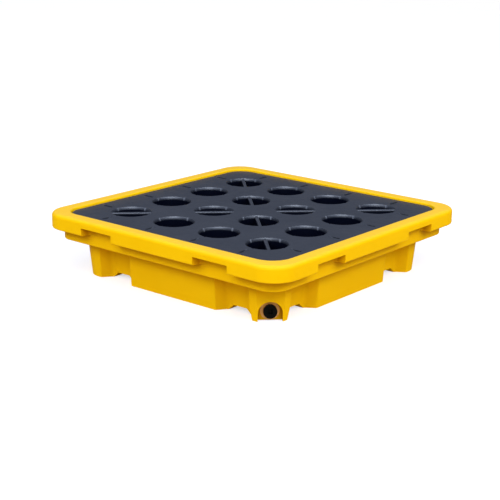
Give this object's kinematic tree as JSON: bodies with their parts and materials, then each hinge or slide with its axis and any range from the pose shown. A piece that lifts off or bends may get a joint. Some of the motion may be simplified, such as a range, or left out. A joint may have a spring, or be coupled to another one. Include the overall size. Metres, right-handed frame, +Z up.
{
  "type": "spill containment pallet",
  "caption": "Low square spill pallet: a sump tub with a drain plug at one corner, under a lift-out deck of round drain holes.",
  "frame": {"origin": "centre of the square footprint, on the floor", "axes": "+Z up; X and Y along the sides; the drain corner faces +X and -Y"},
  "size_m": [0.66, 0.66, 0.142],
  "materials": {
    "tub": "moulded polyethylene, soft sheen",
    "bushing": "moulded polyethylene, tan",
    "deck": "moulded polyethylene, soft sheen",
    "columns": "moulded polypropylene",
    "gasket": "moulded rubber",
    "plug": "moulded nylon"
  },
  "bodies": {
    "tub": {"sump_tub": "tub", "drain_bushing": "bushing"},
    "deck": {"deck_grate": "deck", "support_column_1": "columns", "support_column_2": "columns", "support_column_3": "columns", "support_column_4": "columns", "support_column_5": "columns", "support_column_6": "columns", "support_column_7": "columns", "support_column_8": "columns", "support_column_9": "columns"},
    "gasket": {"drain_gasket": "gasket"},
    "plug": {"drain_plug": "plug"}
  },
  "joints": [
    {"name": "deck_lift", "type": "slide", "parent": "tub", "child": "deck", "axis": [0, 0, 1], "range_m": [0, 0.25]},
    {"name": "plug_travel", "type": "slide", "parent": "tub", "child": "gasket", "axis": [0.7071, -0.7071, 0], "range_m": [0, 0.0145]},
    {"name": "plug_turn", "type": "hinge", "parent": "gasket", "child": "plug", "pos_m": [0.239, -0.239, 0.0202], "axis": [0.7071, -0.7071, 0], "range_deg": [0, 1710]}
  ],
  "couplings": [
    {"joint": "plug_travel", "follows": "plug_turn", "m_per_rad": 0.00047746}
  ]
}
